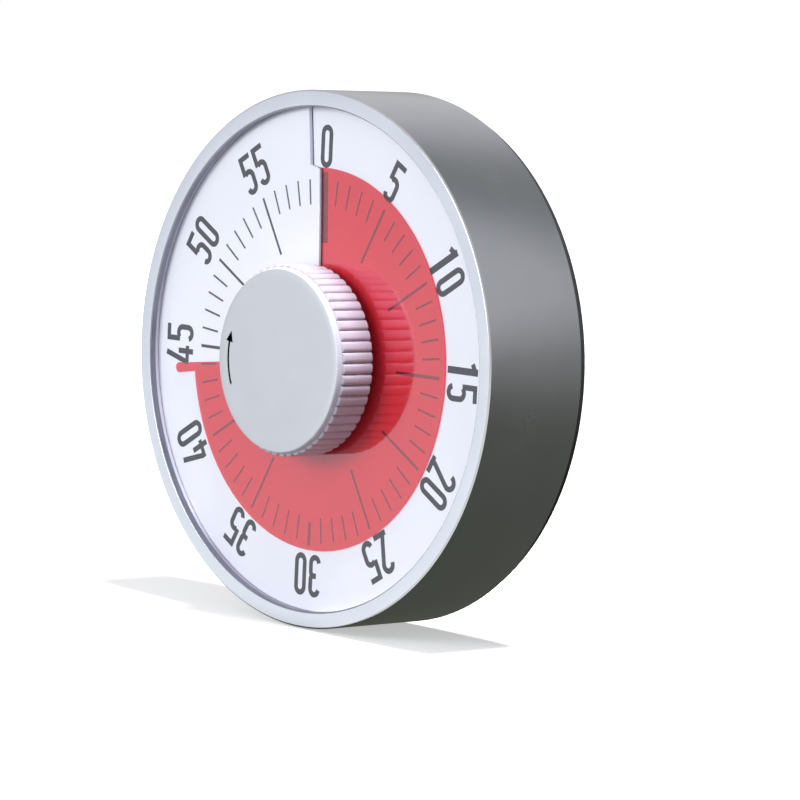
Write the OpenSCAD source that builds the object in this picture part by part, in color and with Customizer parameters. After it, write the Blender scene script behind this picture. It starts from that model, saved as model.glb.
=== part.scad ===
// Wind-up sixty minute visual timer, in millimetres.
// Origin: centre of the flat magnetic back. -Y faces the reader, +X is right,
// and +Z runs up through the dial's 0.
// Every module is drawn in the face frame (x right, y up, z from the back plane towards the reader),
// and upright() turns that frame to the row's axes. Angles named cw run clockwise from the top of the dial.

/* [Case] */
// Outer radius of the case
case_r = 39; // [38.6:0.2:46]
// Length of the case tube, from its rear edge to the front rim
case_len = 17.6; // [17.4:0.2:24]
// Wall of the case tube
case_wall = 1.5; // [1:0.1:1.6]
// Width of the flat front rim
rim_w = 2.44; // [2.2:0.02:3]
// Thickness of the front rim
rim_t = 1; // [0.6:0.1:1.1]
// Chamfer around the outside of the front rim
rim_chamfer = 0.2; // [0.1:0.05:0.6]
// Small chamfer on the other edges of the case tube
edge_chamfer = 0.2; // [0.05:0.05:0.3]

/* [Rear cover] */
// Thickness of the lip that shows behind the tube
lip_t = 1.2; // [0.8:0.1:1.8]
// How far the lip is set in from the tube's outside
lip_inset = 0.7; // [0.3:0.1:1.2]
// Thickness of the cover's plate
cover_t = 2; // [1.9:0.1:2.2]
// Wall of the cover's tubular spacer
spacer_wall = 1.2; // [0.8:0.1:1.3]
// Distance of the cover screws from the centre
screw_ring_r = 33.3; // [33.1:0.1:33.6]
// Radius of a cover screw's shank
screw_r = 0.9; // [0.7:0.05:1]
// Radius of a cover screw's head
screw_head_r = 2; // [1.7:0.1:2]
// Height of a cover screw's head
screw_head_t = 0.8; // [0.6:0.1:1]
// Length of a cover screw under its head
screw_len = 7; // [5:0.5:9]
// Radius of the inner frame's screw bosses
boss_r = 2.3; // [2:0.1:2.3]
// Number of magnets in the back
magnet_count = 4; // [2:1:4]
// Radius of a magnet
magnet_r = 5; // [3:0.5:6]
// Thickness of a magnet
magnet_t = 1.4; // [1:0.1:1.5]
// Distance of the magnets from the centre
magnet_ring_r = 22; // [18:0.5:24]
// Number of sound slots over the bell
slot_count = 5; // [3:1:5]
// Width of a sound slot
slot_w = 1.4; // [0.8:0.1:1.8]
// Length of a sound slot
slot_len = 12; // [6:1:14]
// Spacing of the sound slots
slot_pitch = 3.2; // [2.6:0.1:3.2]

/* [Dial] */
// Depth of the dial's middle height below the front rim
dial_depth = 1.96; // [1.9:0.02:2.1]
// Rise of the spiral dial over its one turn
spiral_rise = 0.6; // [0.55:0.05:1.3]
// Thickness of the dial sheet
dial_t = 0.25; // [0.2:0.05:0.4]
// Radius of the hole in the dial
dial_hole_r = 9; // [8.9:0.1:10]
// Angle by which the slit steps back beyond the red film, to clear the 0
slit_step_deg = 4.5; // [3:0.5:6]
// Gap across the slit, in degrees
slit_gap_deg = 0.25; // [0.2:0.05:1]

/* [Red film] */
// Reading at rest, in minutes
reading_min = 44; // [5:1:55]
// Outer radius of the film
film_r = 27.8; // [24:0.1:28.5]
// Thickness of the film
film_t = 0.14; // [0.1:0.02:0.2]
// Radius of the pointer's tip
pointer_r = 32.3; // [30:0.1:33]
// Width of the pointer
pointer_w = 1.45; // [1:0.05:2]
// Outer radius of the collar that carries the film
collar_r = 8.5; // [7.5:0.1:8.6]

/* [Knob] */
// Radius over the knob's ribs
knob_r = 13.86; // [13:0.02:16]
// Radius of the knob's flat face
knob_face_r = 13.15; // [11.5:0.05:13.2]
// Height of the knob's face above the front rim
knob_proud = 5.6; // [5:0.1:9]
// Depth of the knob's lower edge below the front rim
knob_sink = 0.65; // [0.1:0.05:0.8]
// Height of the sloping band between the face and the ribs
knob_band = 0.8; // [0.5:0.05:1.5]
// Number of ribs
rib_count = 54; // [36:1:60]
// Depth of the grooves between the ribs
rib_depth = 0.45; // [0.2:0.05:0.5]
// Wall of the knob's metal shell
knob_wall = 1.6; // [1:0.1:2]
// Radius of the hub that drives the film
hub_r = 5; // [4.4:0.1:5.5]
// Depth of the key flats on that hub
hub_flat = 0.6; // [0.3:0.1:1]

/* [Movement] */
// Radius of the movement's plates
plate_r = 30; // [30:0.1:30.8]
// Thickness of a plate
plate_t = 0.9; // [0.8:0.05:1]
// Distance between the plates
plate_gap = 8.5; // [8.5:0.1:8.6]
// Edge of the plates on the bell's side, from the centre
plate_cut = 15; // [14.6:0.1:15.2]
// Radius of the main arbor
shaft_r = 2.5; // [2:0.1:2.6]
// Radius of the main arbor's rear pivot
shaft_pivot_r = 1.5; // [1.2:0.1:1.7]
// Radius of the train's arbors
arbor_r = 0.9; // [0.7:0.05:1]
// Radius of the train's pivots
pivot_r = 0.5; // [0.3:0.05:0.6]
// Thickness of the wheels
wheel_t = 0.8; // [0.6:0.05:0.9]
// Teeth of the escape wheel
escape_teeth = 20; // [12:1:24]
// Radius of the escape wheel
escape_r = 5.5; // [4.5:0.1:5.5]
// Radius of the balance wheel
balance_r = 7; // [6:0.1:7.2]
// Radius of a pillar
pillar_r = 1.6; // [1.2:0.1:1.7]

/* [Mainspring] */
// Outer radius of the spring drum
drum_r = 12.2; // [11.5:0.1:12.3]
// Wall of the spring drum
drum_wall = 0.6; // [0.4:0.05:0.8]
// Height of the spring drum
drum_h = 3.4; // [3:0.1:3.4]
// Thickness of the mainspring's strip
spring_t = 0.25; // [0.15:0.01:0.35]
// Turns of the mainspring
spring_turns = 9; // [6:1:10]

/* [Bell] */
// Distance of the bell from the centre
bell_x = 25.5; // [25.4:0.1:25.8]
// Outer radius of the bell
bell_r = 10.2; // [9.5:0.1:10.3]
// Height of the bell
bell_h = 4.6; // [4:0.1:5]
// Wall of the bell
bell_wall = 0.6; // [0.4:0.05:0.8]
// Gap between the hammer's head and the bell at rest
hammer_gap = 1.2; // [1.1:0.1:1.6]
// Radius of the hammer's head
hammer_r = 1.5; // [1.2:0.1:1.6]
// Distance from the hammer's post to its head
hammer_arm = 10; // [9.5:0.1:10.5]

/* [Fits] */
// Radial clearance of a shaft that turns or slides in a hole
running_gap = 0.05; // [0.02:0.01:0.1]
// Clearance between pieces that drop into each other
slip_gap = 0.1; // [0.05:0.01:0.15]

/* [Hidden] */
$fn = 96;
// Facets of the small pins, and of the medium rounds.
FINE = 24;
MEDIUM = 48;
// How far joined solids run into each other, and cutters past a face.
eps = 0.01;
over = 1;

// Heights in the face frame, from the back plane to the front.
front_z = lip_t + case_len;
knob_face_z = front_z + knob_proud;
knob_low_z = front_z - knob_sink;
dial_mid_z = front_z - dial_depth;
ramp_low_z = dial_mid_z - spiral_rise / 2;
film_gap = 0.08;
film_lift = (dial_t + film_t) / 2 + film_gap;
film_room = 0.735;
frame_top_z = ramp_low_z - spiral_rise + film_lift - film_t / 2 - film_room;
frame_t = 1.6;
frame_low_z = frame_top_z - frame_t;
front_plate_z = frame_low_z - plate_t;
rear_plate_top_z = front_plate_z - plate_gap;
rear_plate_z = rear_plate_top_z - plate_t;

// Radii that follow from the case.
bore_r = case_r - case_wall;
rim_inner_r = case_r - rim_w;
frame_r = bore_r - slip_gap;
ring_inner_r = rim_inner_r + 0.2;
dial_r = ring_inner_r - slip_gap;
pad_out_r = dial_r - 0.1;
pad_len = 2.2;
pad_w = 4;
pad_count = 12;
pad_first_deg = 15;
pad_clear = 0.03;
film_in_r = collar_r + 0.02;
knob_root_r = knob_r - rib_depth;
knob_cavity_r = knob_root_r - knob_wall;
knob_band_z = knob_face_z - knob_band;
knob_cavity_z = knob_face_z - knob_wall;
band_inset = 0.1;
core_sink = 1;
frame_hole_r = hub_r + 1;
hub_low_z = frame_top_z - 0.5;
shaft_flat = shaft_r * 0.3;
shaft_top_z = knob_cavity_z - 1;
rest_cw = reading_min * 6;
jog_in_r = film_r - 0.2;
jog_out_r = film_r + 0.4;
screw_count = 4;
back_first_cw = 45;
cross_len = screw_head_r * 1.2;
cross_w = 0.4;
cross_depth = screw_head_t * 0.6;
tip_gap = 0.3;
film_span = 358;
film_low_z = ramp_z(rest_cw - film_span) + film_lift - film_t / 2;
film_high_z = ramp_z(rest_cw) + film_lift + film_t / 2;
sheet_steps = 60;
pointer_round_steps = 6;

// Levels in the movement, counted from the rear plate.
great_z = rear_plate_top_z + 4;
second_z = rear_plate_top_z + 6;
third_z = rear_plate_top_z + 1.7;
escape_z = great_z + 0.2;
balance_z = rear_plate_top_z + 6.4;
balance_t = 1;
balance_rim = 1.2;
balance_arm_w = 1.4;
escape_t = wheel_t - 0.2;
escape_tooth = 1.1;
hub_wall = 1;
great_hub_wall = 1.5;
pinion_over = 0.3;
end_shake = 0.15;
drum_floor = 0.4;
drum_hole_gap = 0.5;
spring_inner_gap = 0.4;
spring_outer_gap = 0.02;
spring_end_gap = 0.25;
clip_t = 0.5;
clip_r = 3;
shaft_tail = 0.8;

// Teeth of the train. The tip is shortened and the flanks thinned, so that coarse wheels run freely.
large_teeth = 60;
third_teeth = 40;
pinion_teeth = 10;
great_module = 0.45;
second_module = 0.35;
third_module = 0.45;
pressure_angle = 20;
tooth_add = 0.9;
tooth_ded = 1.2;
tooth_backlash = 0.16;

// Train: each arbor stands at a direction from the one before it.
second_dir = 60;
third_dir = -16;
escape_dir = -85;
balance_dir = -100;
function centre_distance(m, wheel) = m * (wheel + pinion_teeth) / 2;
function step_to(from, dist, dir) = from + dist * [cos(dir), sin(dir)];
second_at = step_to([0, 0], centre_distance(great_module, large_teeth), second_dir);
third_at = step_to(second_at, centre_distance(second_module, large_teeth), third_dir);
escape_at = step_to(third_at, centre_distance(third_module, third_teeth), escape_dir);
anchor_reach = 8.6;
balance_at = step_to(escape_at, anchor_reach, balance_dir);
pallet_pin_r = 0.55;
pallet_arm_w = 0.8;
pallet_pin_gap = 0.6;
pallet_spread = 35;
arbors_at = [second_at, third_at, escape_at, balance_at];
pillars_at = [[-9, 25.5], [-9, -25.5], [14, -24], [28.1, 1.2]];
frame_screws_at = [[3, 27], [24, -15], [-12.5, 3]];
pillar_spigot_r = 0.8;
pillar_screw_r = 0.75;
pillar_screw_head_r = 1.5;
pillar_screw_head_t = 0.7;
pillar_screw_len = 3.6;
frame_screw_r = 0.9;
frame_screw_head_r = 1.6;
frame_screw_head_t = 0.8;
frame_screw_bite = 1.2;

// Ratchet on top of the great wheel.
ratchet_teeth = 16;
ratchet_r = 5.2;
ratchet_tooth = 0.8;
ratchet_h = 0.6;
ratchet_z = great_z + wheel_t;
click_at = [-8.6, 0];
click_hub_r = 1.4;
click_pin_r = 0.6;
click_rivet_r = 1;
click_rivet_t = 0.3;

// Bell and hammer.
bell_at = [-bell_x, 0];
bell_top_z = frame_low_z - 2.8;
bell_low_z = bell_top_z - bell_h;
bell_crown = 1.4;
bell_flat = 1;
bell_post_r = 2.5;
bell_post_floor = 0.6;
bell_screw_r = 1;
bell_screw_head_r = 1.8;
bell_screw_head_t = 0.8;
strike_dir = -60;
head_at = step_to(bell_at, bell_r + hammer_gap + hammer_r, strike_dir);
post_at = step_to(head_at, -hammer_arm, strike_dir + 90);
lever_z = great_z + 0.2;
lever_w = 2;
lever_hub_r = 1.9;
lever_over = 6.5;
post_r = 0.8;
post_shoulder_r = 1.5;
post_low_z = lever_z - 1.2;
post_clip_t = 0.4;
post_clip_z = lever_z - 2 * post_clip_t;
spring_wire_r = 0.2;
hammer_spring_turns = 4;
hammer_head_h = 1.3;
hammer_neck_r = hammer_r * 0.5;
hammer_rivet_r = hammer_r * 0.8;
hammer_rivet_t = 0.5;

// ---- Shared shapes ----

module upright() {
    rotate([90, 0, 0]) children();
}

function cw_point(r, cw) = [r * sin(cw), r * cos(cw)];
function ramp_z(cw) = ramp_low_z + spiral_rise * cw / 360;

// A disc or pin along z, given by its two heights.
module rod(r, z0, z1, at = [0, 0], facets = FINE) {
    translate([at[0], at[1], z0]) cylinder(r = r, h = z1 - z0, $fn = facets);
}

module ring(r_in, r_out, z0, z1) {
    difference() {
        rod(r_out, z0, z1, facets = $fn);
        rod(r_in, z0 - over, z1 + over, facets = $fn);
    }
}

// A shaft with a flat cut along one side.
module d_shaft(r, flat, z0, z1) {
    intersection() {
        rod(r, z0, z1);
        translate([-r - over, -r - over, z0]) cube([2 * (r + over), 2 * r + over - flat, z1 - z0]);
    }
}

// A shaft with two opposite flats.
module key_shaft(r, flat, z0, z1) {
    intersection() {
        rod(r, z0, z1, facets = MEDIUM);
        translate([-r - over, -r + flat, z0]) cube([2 * (r + over), 2 * (r - flat), z1 - z0]);
    }
}

// A sheet on the spiral. Each station is a row of [radius, cw] points, from the inner edge outwards.
module spiral_sheet(stations, lift, t) {
    rows = len(stations);
    cols = len(stations[0]);
    last_row = (rows - 1) * cols;
    function grid(offset) = [for (row = stations) for (p = row)
        concat(cw_point(p[0], p[1]), ramp_z(p[1]) + lift + offset)];
    under = rows * cols;
    top_faces = [for (i = [0 : rows - 2]) for (j = [0 : cols - 2]) let (a = i * cols + j)
        each [[a, a + 1, a + cols + 1], [a, a + cols + 1, a + cols]]];
    low_faces = [for (f = top_faces) [f[2] + under, f[1] + under, f[0] + under]];
    inner = [for (i = [0 : rows - 1]) i * cols];
    outer = [for (i = [0 : rows - 1]) i * cols + cols - 1];
    first = [for (j = [0 : cols - 1]) j];
    last = [for (j = [0 : cols - 1]) last_row + j];
    function wall(edge) = [for (k = [0 : len(edge) - 2]) let (a = edge[k], b = edge[k + 1])
        each [[a, b, b + under], [a, b + under, a + under]]];
    function back(list) = [for (k = [len(list) - 1 : -1 : 0]) list[k]];
    polyhedron(points = concat(grid(t / 2), grid(-t / 2)),
               faces = concat(top_faces, low_faces, wall(inner), wall(back(outer)),
                              wall(back(first)), wall(last)));
}

// Tooth outline on an involute, with a shortened tip and backlash, one tooth centred on `phase`.
function involute(a) = tan(a) * 180 / PI - a;
function half_tooth(teeth, m, r) =
    let (pitch_r = m * teeth / 2,
         base_r = pitch_r * cos(pressure_angle),
         base_half = 90 / teeth - tooth_backlash * m / (2 * pitch_r) * 180 / PI + involute(pressure_angle))
    r <= base_r ? base_half : base_half - involute(acos(base_r / r));
function gear_points(teeth, m, phase) =
    let (pitch_r = m * teeth / 2,
         radii = [pitch_r - tooth_ded * m, pitch_r, pitch_r + tooth_add * m])
    [for (k = [0 : teeth - 1]) let (mid = phase + 360 * k / teeth)
        each concat([for (n = [0 : 2]) flank_point(radii[n], mid - half_tooth(teeth, m, radii[n]))],
                    [for (n = [2 : -1 : 0]) flank_point(radii[n], mid + half_tooth(teeth, m, radii[n]))])];
function flank_point(r, angle) = r * [cos(angle), sin(angle)];

module gear(teeth, m, z0, z1, phase = 0) {
    translate([0, 0, z0]) linear_extrude(height = z1 - z0) polygon(gear_points(teeth, m, phase));
}

// Phase that puts the second gear in mesh with the first, which lies at `dir` behind it.
function mesh_phase(dir, phase1, teeth1, teeth2) =
    dir + 180 - 180 / teeth2 + (dir - phase1) * teeth1 / teeth2;
second_phase = mesh_phase(second_dir, 0, large_teeth, pinion_teeth);
third_phase = mesh_phase(third_dir, 0, large_teeth, pinion_teeth);
escape_phase = mesh_phase(escape_dir, 0, third_teeth, pinion_teeth);

// A toothed wheel with a bore and a ring of round windows.
module wheel(teeth, m, bore, windows, window_r) {
    mid_r = m * teeth * 0.3;
    difference() {
        gear(teeth, m, 0, wheel_t);
        rod(bore, -over, wheel_t + over);
        for (k = [0 : windows - 1])
            rod(window_r, -over, wheel_t + over, at = step_to([0, 0], mid_r, 360 * k / windows));
    }
}

// An arbor with a pivot at each end and a pinion along part of it.
module arbor(m, phase, pinion_mid_z) {
    half = wheel_t / 2 + pinion_over;
    rod(pivot_r, rear_plate_z, front_plate_z + plate_t - eps);
    rod(arbor_r, rear_plate_top_z + end_shake, front_plate_z - end_shake);
    gear(pinion_teeth, m, pinion_mid_z - half, pinion_mid_z + half, phase);
}

module move_to(at, z = 0) {
    translate([at[0], at[1], z]) children();
}

// ---- Case ----

module case_shell() {
    color("silver") rotate_extrude() polygon([
        [case_r - edge_chamfer, lip_t], [case_r, lip_t + edge_chamfer],
        [case_r, front_z - rim_chamfer], [case_r - rim_chamfer, front_z],
        [rim_inner_r + edge_chamfer, front_z], [rim_inner_r, front_z - edge_chamfer],
        [rim_inner_r, front_z - rim_t], [bore_r, front_z - rim_t], [bore_r, lip_t]]);
}

module spacer_ring() {
    color("lightsteelblue") ring(ring_inner_r, frame_r, frame_top_z, front_z - rim_t);
}

module rear_cover() {
    color("dimgray") difference() {
        union() {
            rod(case_r - lip_inset, 0, lip_t, facets = $fn);
            rod(frame_r, 0, cover_t, facets = $fn);
            ring(frame_r - spacer_wall, frame_r, cover_t - eps, frame_low_z);
        }
        for (at = screw_places()) {
            rod(screw_r + slip_gap, -over, cover_t + over, at = at);
            rod(screw_head_r + slip_gap, -over, screw_head_t + slip_gap, at = at);
        }
        for (at = magnet_places())
            rod(magnet_r + running_gap, -over, magnet_t + running_gap, at = at, facets = MEDIUM);
        for (k = [0 : slot_count - 1]) sound_slot(-bell_x + (k - (slot_count - 1) / 2) * slot_pitch);
    }
}

module sound_slot(x) {
    straight = slot_len - slot_w;
    translate([x - slot_w / 2, -straight / 2, -over]) cube([slot_w, straight, cover_t + 2 * over]);
    for (side = [-1, 1]) rod(slot_w / 2, -over, cover_t + over, at = [x, side * straight / 2]);
}

function ring_places(r, count) = [for (k = [0 : count - 1]) cw_point(r, back_first_cw + 360 * k / count)];
function screw_places() = ring_places(screw_ring_r, screw_count);
function magnet_places() = ring_places(magnet_ring_r, magnet_count);

module cover_screws() {
    color("gray") for (at = screw_places()) difference() {
        union() {
            rod(screw_head_r, slip_gap, slip_gap + screw_head_t, at = at);
            rod(screw_r, screw_head_t, slip_gap + screw_head_t + screw_len, at = at);
        }
        for (turn = [0, 90]) move_to(at, -over) rotate([0, 0, turn])
            translate([-cross_len / 2, -cross_w / 2, 0]) cube([cross_len, cross_w, over + cross_depth]);
    }
}

module magnets() {
    color("lightgray") for (at = magnet_places())
        rod(magnet_r, running_gap, magnet_t, at = at, facets = MEDIUM);
}

// ---- Dial and its frame ----

// Both ends of the sheet follow the stepped slit: the inner part ends at 0, the outer part before it.
module dial_plate() {
    inner_from = slit_gap_deg / 2;
    outer_from = inner_from - slit_step_deg;
    inner_span = 360 - slit_gap_deg;
    blend = 3;
    stations = [for (i = [0 : sheet_steps]) let (
        cw_in = inner_from + inner_span * i / sheet_steps,
        ends = max(0, 1 - min(i, sheet_steps - i) / blend),
        cw_out = cw_in - slit_step_deg * ends)
        [[dial_hole_r, cw_in], [jog_in_r, cw_in], [jog_out_r, cw_out], [dial_r, cw_out]]];
    color("white") spiral_sheet(stations, 0, dial_t);
}

module inner_frame() {
    pad_half_deg = asin(pad_w / 2 / (pad_out_r - pad_len));
    color("gainsboro") difference() {
        union() {
            rod(frame_r, frame_low_z, frame_top_z, facets = $fn);
            for (k = [0 : pad_count - 1]) {
                cw = pad_first_deg + 360 * k / pad_count;
                top = ramp_z(cw - pad_half_deg) - dial_t / 2 - pad_clear;
                rotate([0, 0, -cw]) translate([-pad_w / 2, pad_out_r - pad_len, frame_top_z - eps])
                    cube([pad_w, pad_len, top - frame_top_z + eps]);
            }
            for (at = screw_places()) rod(boss_r, cover_t, frame_low_z + eps, at = at);
        }
        rod(frame_hole_r, frame_low_z - over, frame_top_z + over, facets = MEDIUM);
        for (at = screw_places()) rod(screw_r, cover_t - over, cover_t + screw_len, at = at);
        for (at = frame_screws_at)
            rod(frame_screw_r, frame_low_z - over, frame_low_z + frame_screw_bite, at = at);
    }
}

module frame_screws() {
    color("silver") for (at = frame_screws_at) {
        rod(frame_screw_head_r, front_plate_z - frame_screw_head_t, front_plate_z, at = at);
        rod(frame_screw_r, front_plate_z - eps, frame_low_z + frame_screw_bite, at = at);
    }
}

// ---- Movement plates ----

module plate(z0, centre_r, fixing_r) {
    difference() {
        intersection() {
            rod(plate_r, z0, z0 + plate_t, facets = $fn);
            translate([-plate_cut, -plate_r - over, z0 - over])
                cube([plate_cut + plate_r + over, 2 * (plate_r + over), plate_t + 2 * over]);
        }
        rod(centre_r, z0 - over, z0 + plate_t + over);
        for (at = arbors_at) rod(pivot_r + running_gap, z0 - over, z0 + plate_t + over, at = at);
        for (at = pillars_at) rod(fixing_r, z0 - over, z0 + plate_t + over, at = at);
    }
}

module front_plate() {
    color("darkkhaki") difference() {
        plate(front_plate_z, shaft_r + running_gap, pillar_spigot_r);
        for (at = frame_screws_at)
            rod(frame_screw_r + running_gap, front_plate_z - over, front_plate_z + plate_t + over, at = at);
    }
}

module rear_plate() {
    color("darkkhaki") plate(rear_plate_z, shaft_pivot_r + running_gap, pillar_screw_r + running_gap);
}

module pillars() {
    color("tan") for (at = pillars_at) difference() {
        union() {
            rod(pillar_r, rear_plate_top_z, front_plate_z, at = at);
            rod(pillar_spigot_r, front_plate_z - eps, front_plate_z + plate_t, at = at);
        }
        rod(pillar_screw_r, rear_plate_top_z - over, rear_plate_top_z + pillar_screw_len, at = at);
    }
}

module pillar_screws() {
    color("silver") for (at = pillars_at) {
        rod(pillar_screw_head_r, rear_plate_z - pillar_screw_head_t, rear_plate_z, at = at);
        rod(pillar_screw_r, rear_plate_z - eps, rear_plate_top_z + pillar_screw_len - tip_gap, at = at);
    }
}

// ---- Mainspring ----

module spring_drum() {
    inner_r = drum_r - drum_wall;
    color("darkgoldenrod") difference() {
        rod(drum_r, rear_plate_top_z, rear_plate_top_z + drum_h, facets = $fn);
        rod(inner_r, rear_plate_top_z + drum_floor, rear_plate_top_z + drum_h + over, facets = $fn);
        rod(shaft_r + drum_hole_gap, rear_plate_top_z - over, rear_plate_top_z + over);
    }
}

module mainspring() {
    from_r = shaft_r + spring_inner_gap;
    to_r = drum_r - drum_wall - spring_t - spring_outer_gap;
    low_z = rear_plate_top_z + drum_floor + spring_end_gap;
    high_z = rear_plate_top_z + drum_h - spring_end_gap;
    steps_per_turn = 20;
    steps = spring_turns * steps_per_turn;
    function spiral_at(i, offset) = let (r = from_r + (to_r - from_r) * i / steps + offset)
        cw_point(r, 360 * i / steps_per_turn);
    outline = concat([for (i = [0 : steps]) spiral_at(i, 0)],
                     [for (i = [steps : -1 : 0]) spiral_at(i, spring_t)]);
    color("slategray") translate([0, 0, low_z]) linear_extrude(height = high_z - low_z) polygon(outline);
}

// ---- Bell ----

module bell_post() {
    color("tan") difference() {
        rod(bell_post_r, bell_top_z, frame_low_z, at = bell_at);
        rod(bell_screw_r, bell_top_z - over, frame_low_z - bell_post_floor, at = bell_at);
    }
}

module bell() {
    inner_r = bell_r - bell_wall;
    hole_r = bell_screw_r + running_gap;
    flat_r = bell_post_r + bell_flat;
    shoulder_z = bell_top_z - bell_wall;
    color("gold") move_to(bell_at) rotate_extrude() polygon([
        [hole_r, bell_top_z], [flat_r, bell_top_z], [bell_r - bell_crown, shoulder_z],
        [bell_r, shoulder_z - bell_crown], [bell_r, bell_low_z],
        [inner_r, bell_low_z], [inner_r, shoulder_z - bell_crown],
        [inner_r - bell_crown + bell_wall / 3, shoulder_z - bell_wall], [flat_r, shoulder_z],
        [hole_r, shoulder_z]]);
}

module bell_screw() {
    seat_z = bell_top_z - bell_wall;
    color("silver") {
        rod(bell_screw_head_r, seat_z - bell_screw_head_t, seat_z, at = bell_at);
        rod(bell_screw_r, seat_z - eps, frame_low_z - bell_post_floor - tip_gap, at = bell_at);
    }
}

module hammer_post() {
    shoulder_z = lever_z + wheel_t + 2 * end_shake;
    color("silver") {
        rod(post_shoulder_r, shoulder_z, frame_low_z, at = post_at);
        rod(post_r, post_low_z, shoulder_z + eps, at = post_at);
    }
}

module post_clip() {
    color("gray") difference() {
        rod(post_shoulder_r, post_clip_z, post_clip_z + post_clip_t, at = post_at);
        rod(post_r, post_clip_z - over, post_clip_z + over, at = post_at);
    }
}

module hammer_lever() {
    color("silver") difference() {
        union() {
            rod(lever_hub_r, lever_z - end_shake, lever_z + wheel_t + end_shake, at = post_at);
            move_to(post_at, lever_z) rotate([0, 0, strike_dir + 90]) translate([0, -lever_w / 2, 0])
                cube([hammer_arm + lever_over, lever_w, wheel_t]);
        }
        rod(post_r + running_gap, lever_z - over, lever_z + wheel_t + over, at = post_at);
        rod(hammer_neck_r, lever_z - over, lever_z + wheel_t + over, at = head_at);
    }
}

module hammer_head() {
    color("goldenrod") {
        rod(hammer_r, lever_z - hammer_head_h, lever_z, at = head_at);
        rod(hammer_neck_r, lever_z - eps, lever_z + wheel_t + eps, at = head_at);
        rod(hammer_rivet_r, lever_z + wheel_t, lever_z + wheel_t + hammer_rivet_t, at = head_at);
    }
}

// A close coil around the post, between the lever and the frame.
module hammer_spring() {
    sides = 6;
    steps = 20;
    coil_r = post_shoulder_r + 2 * running_gap + spring_wire_r;
    pitch = 2 * spring_wire_r + slip_gap;
    start_z = lever_z + wheel_t + end_shake + spring_wire_r + spring_outer_gap;
    rings = hammer_spring_turns * steps;
    points = [for (i = [0 : rings]) for (s = [0 : sides - 1]) let (
        a = 360 * i / steps, b = 360 * s / sides, r = coil_r + spring_wire_r * cos(b))
        [r * cos(a), r * sin(a), start_z + pitch * i / steps + spring_wire_r * sin(b)]];
    side_faces = [for (i = [0 : rings - 1]) for (s = [0 : sides - 1]) let (
        a = i * sides + s, b = i * sides + (s + 1) % sides)
        each [[a, b, b + sides], [a, b + sides, a + sides]]];
    end_cap = [for (s = [0 : sides - 1]) rings * sides + s];
    start_cap = [for (s = [sides - 1 : -1 : 0]) s];
    color("slategray") move_to(post_at)
        polyhedron(points = points, faces = concat(side_faces, [start_cap, end_cap]));
}

// ---- Knob, arbor and the wheels on it ----

function rib_outline() = [for (k = [0 : rib_count - 1]) for (p = [[0, 0], [0.1, 0.6], [0.28, 0.92], [0.5, 1],
                                                                [0.72, 0.92], [0.9, 0.6]])
    cw_point(knob_root_r + rib_depth * p[1], 360 * (k + p[0]) / rib_count)];

// The ribs are a prism. The sloping band starts a little inside their grooves.
module knob_shell() {
    band_low_r = knob_root_r - band_inset;
    color("lightgray") difference() {
        union() {
            translate([0, 0, knob_low_z])
                linear_extrude(height = knob_band_z - knob_low_z) polygon(rib_outline());
            rotate_extrude() polygon([
                [0, knob_band_z - knob_wall], [band_low_r, knob_band_z - knob_wall],
                [band_low_r, knob_band_z], [knob_face_r, knob_face_z], [0, knob_face_z]]);
        }
        rod(knob_cavity_r, knob_low_z - over, knob_cavity_z, facets = $fn);
    }
}

module knob_core() {
    floor_z = knob_low_z + core_sink;
    color("whitesmoke") difference() {
        union() {
            rod(knob_cavity_r, floor_z, knob_cavity_z, facets = $fn);
            key_shaft(hub_r, hub_flat, hub_low_z, floor_z + eps);
        }
        d_shaft(shaft_r, shaft_flat, hub_low_z - over, shaft_top_z + end_shake);
    }
}

module main_arbor() {
    color("silver") {
        d_shaft(shaft_r, shaft_flat, hub_low_z - eps, shaft_top_z);
        rod(shaft_r, rear_plate_top_z + end_shake, hub_low_z);
        rod(shaft_pivot_r, rear_plate_z - shaft_tail, rear_plate_top_z + end_shake + eps);
    }
}

module arbor_clip() {
    low_z = rear_plate_z - running_gap - clip_t;
    color("gray") ring(shaft_pivot_r, clip_r, low_z, low_z + clip_t);
}

module great_wheel() {
    color("gold") {
        move_to([0, 0], great_z) wheel(large_teeth, great_module, shaft_r, 6, 2.2);
        ring(shaft_r, shaft_r + great_hub_wall, great_z - pinion_over, great_z + eps);
    }
}

module ratchet_wheel() {
    points = [for (k = [0 : ratchet_teeth - 1]) each [
        cw_point(ratchet_r - ratchet_tooth, 360 * k / ratchet_teeth),
        cw_point(ratchet_r, 360 * (k + 0.9) / ratchet_teeth)]];
    color("silver") translate([0, 0, ratchet_z]) linear_extrude(height = ratchet_h) difference() {
        polygon(points);
        circle(r = shaft_r, $fn = FINE);
    }
}

module click() {
    color("silver") difference() {
        union() {
            rod(click_hub_r, ratchet_z, ratchet_z + ratchet_h, at = click_at);
            move_to(click_at, ratchet_z) linear_extrude(height = ratchet_h)
                polygon([[-1.2, 0], [1.2, 0], [2.9, 4.6], [2, 4.9]]);
        }
        rod(click_pin_r, ratchet_z - over, ratchet_z + ratchet_h + over, at = click_at);
    }
}

module click_rivet() {
    click_top_z = ratchet_z + ratchet_h;
    color("tan") {
        rod(click_pin_r, ratchet_z, click_top_z + eps, at = click_at);
        rod(click_rivet_r, click_top_z, click_top_z + click_rivet_t, at = click_at);
    }
}

// ---- Red film ----

module film_collar() {
    color("firebrick") difference() {
        rod(collar_r, film_low_z, film_high_z, facets = $fn);
        key_shaft(hub_r + running_gap, hub_flat, film_low_z - over, film_high_z + over);
    }
}

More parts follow.
